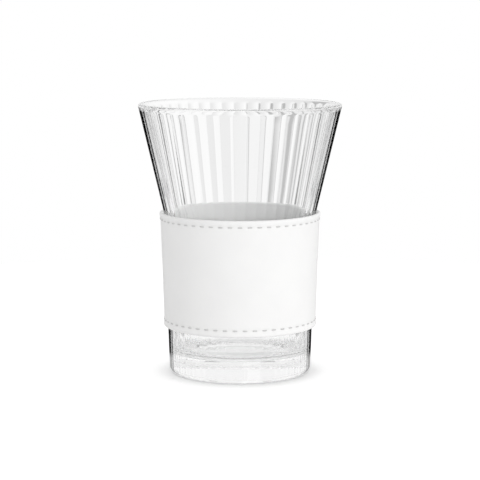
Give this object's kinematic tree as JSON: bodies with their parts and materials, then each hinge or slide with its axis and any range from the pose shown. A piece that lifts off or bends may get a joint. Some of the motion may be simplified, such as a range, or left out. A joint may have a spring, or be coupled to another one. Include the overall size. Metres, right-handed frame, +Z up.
{
  "type": "latte glass",
  "caption": "Tall ribbed clear glass with a flared mouth and a thick base, held by a white leather sleeve with sewn hems that slides down off it.",
  "frame": {"origin": "centre of the foot, on the plane that the glass stands on", "axes": "+Z up along the axis of the glass, +Y towards the joint at the back of the sleeve"},
  "size_m": [0.09, 0.09, 0.12],
  "materials": {
    "glass": "clear pressed glass, fire-polished",
    "leather": "white, fine grain, satin",
    "lining": "thin woven lining",
    "thread": "light grey twisted sewing thread"
  },
  "bodies": {
    "glass": {"glass": "glass"},
    "sleeve": {"sleeve_cover": "leather", "sleeve_lining": "lining", "top_hem_thread": "thread", "bottom_hem_thread": "thread", "left_seam_thread": "thread", "right_seam_thread": "thread"}
  },
  "joints": [
    {"name": "sleeve_slide", "type": "slide", "parent": "glass", "child": "sleeve", "axis": [0, 0, -1], "range_m": [0, 0.0207]}
  ]
}
